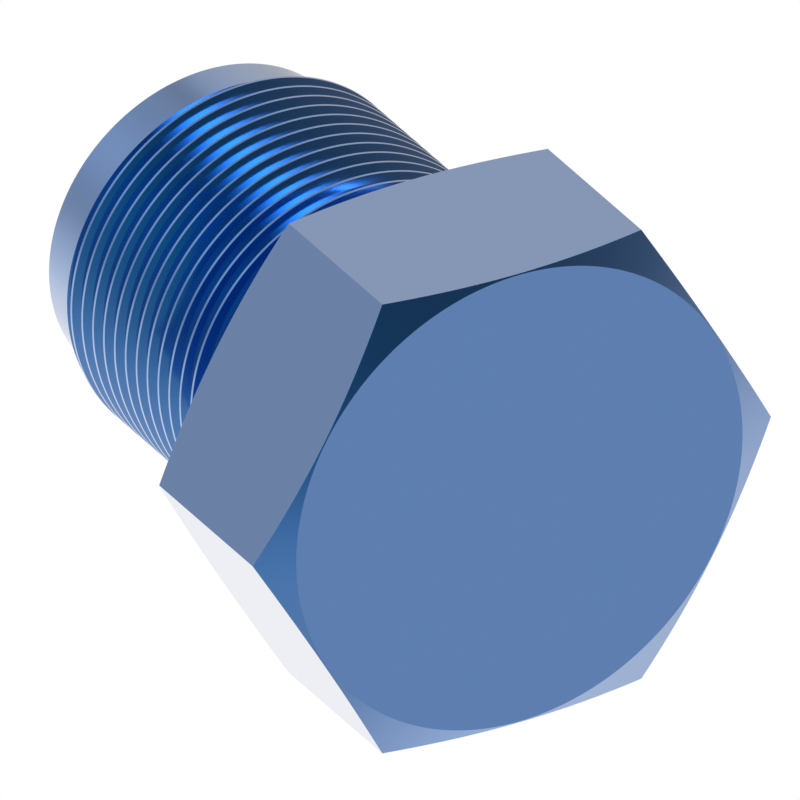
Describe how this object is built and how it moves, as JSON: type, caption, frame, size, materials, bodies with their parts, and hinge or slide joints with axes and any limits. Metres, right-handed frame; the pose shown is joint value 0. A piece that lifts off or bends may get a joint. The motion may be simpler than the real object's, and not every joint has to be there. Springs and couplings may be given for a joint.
{
  "type": "flare plug",
  "caption": "Hexagon-headed plug with a fine external thread, a plain nose and a conical seat that closes a flared tube line.",
  "frame": {"origin": "centre of the hexagon head's outer face, on the thread's axis", "axes": "+Z along the thread towards the nose, +X towards a corner of the hexagon"},
  "size_m": [0.0164, 0.0142, 0.0199],
  "materials": {
    "anodised_aluminium": "bright blue anodised"
  },
  "bodies": {
    "root": {"flare_plug": "anodised_aluminium"}
  },
  "joints": []
}
